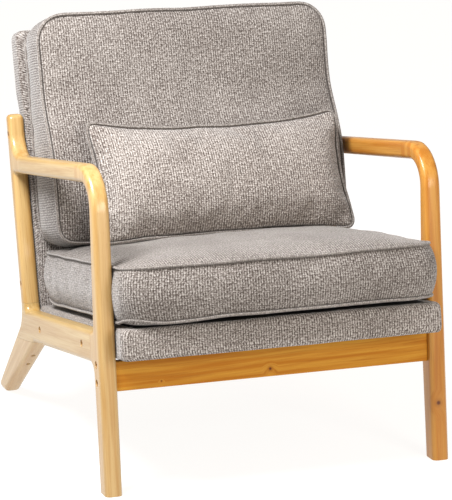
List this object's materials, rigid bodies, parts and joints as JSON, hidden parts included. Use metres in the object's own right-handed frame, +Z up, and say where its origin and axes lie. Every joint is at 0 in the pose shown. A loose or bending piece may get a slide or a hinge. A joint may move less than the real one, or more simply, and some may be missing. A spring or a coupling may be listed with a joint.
{
  "type": "lounge armchair",
  "caption": "Wooden lounge armchair: bentwood-style side frames, front apron, upholstered seat deck and back panel, loose seat cushion, back cushion and lumbar pillow.",
  "frame": {"origin": "on the floor, under the centre of the chair's bounding box", "axes": "+Z up, -Y towards the front where the sitter's legs go, +X towards the right arm as seen from the front"},
  "size_m": [0.66, 0.7605, 0.7726],
  "materials": {
    "pale_wood": "satin lacquer, pale straw-coloured hardwood",
    "amber_wood": "satin lacquer, amber-coloured hardwood with knots",
    "softwood": "sawn, unfinished",
    "upholstery": "grey-taupe melange loop weave",
    "foam": "open-cell foam and polyester fibre",
    "webbing": "woven elastic strap",
    "dust_cloth": "thin black non-woven cloth",
    "bronzed_steel": "bronze-coloured plated bolts and screws"
  },
  "bodies": {
    "frame": {"left_armrest": "pale_wood", "right_armrest": "pale_wood", "left_rear_post": "pale_wood", "right_rear_post": "pale_wood", "left_side_rail": "pale_wood", "right_side_rail": "pale_wood", "left_front_leg": "amber_wood", "right_front_leg": "amber_wood", "left_rear_leg": "amber_wood", "right_rear_leg": "amber_wood", "front_apron": "amber_wood", "rear_stretcher": "amber_wood", "left_rail_bolt_front": "bronzed_steel", "right_rail_bolt_front": "bronzed_steel", "left_rail_bolt_rear": "bronzed_steel", "right_rail_bolt_rear": "bronzed_steel", "left_post_bolt_lower": "bronzed_steel", "right_post_bolt_lower": "bronzed_steel", "left_post_bolt_upper": "bronzed_steel", "right_post_bolt_upper": "bronzed_steel", "left_apron_bolt_upper": "bronzed_steel", "right_apron_bolt_upper": "bronzed_steel", "left_apron_bolt_lower": "bronzed_steel", "right_apron_bolt_lower": "bronzed_steel", "left_leg_screw_upper": "bronzed_steel", "right_leg_screw_upper": "bronzed_steel", "left_leg_screw_lower": "bronzed_steel", "right_leg_screw_lower": "bronzed_steel", "seat_deck_cover": "upholstery", "back_panel_cover": "upholstery", "back_rear_cloth": "upholstery", "seat_deck_foam": "foam", "back_panel_foam": "foam", "seat_frame_left": "softwood", "seat_frame_right": "softwood", "seat_frame_front": "softwood", "seat_frame_rear": "softwood", "back_frame_left": "softwood", "back_frame_right": "softwood", "back_frame_bottom": "softwood", "back_frame_top": "softwood", "seat_webbing_1": "webbing", "seat_webbing_2": "webbing", "seat_webbing_3": "webbing", "seat_webbing_4": "webbing", "back_webbing_1": "webbing", "back_webbing_2": "webbing", "back_webbing_3": "webbing", "seat_dust_cover": "dust_cloth"},
    "seat_cushion": {"seat_cushion_cover": "upholstery", "seat_cushion_foam": "foam"},
    "back_cushion": {"back_cushion_cover": "upholstery", "back_cushion_foam": "foam"},
    "lumbar_pillow": {"lumbar_pillow_cover": "upholstery", "lumbar_pillow_fill": "foam"}
  },
  "joints": [
    {"name": "seat_cushion_slide", "type": "slide", "parent": "frame", "child": "seat_cushion", "axis": [0, -0.9863, 0.165], "range_m": [0, 0.3]},
    {"name": "back_cushion_lift", "type": "slide", "parent": "frame", "child": "back_cushion", "axis": [0, 0.2504, 0.9681], "range_m": [0, 0.2]},
    {"name": "lumbar_pillow_lift", "type": "slide", "parent": "back_cushion", "child": "lumbar_pillow", "axis": [0, 0, 1], "range_m": [0, 0.25]}
  ]
}
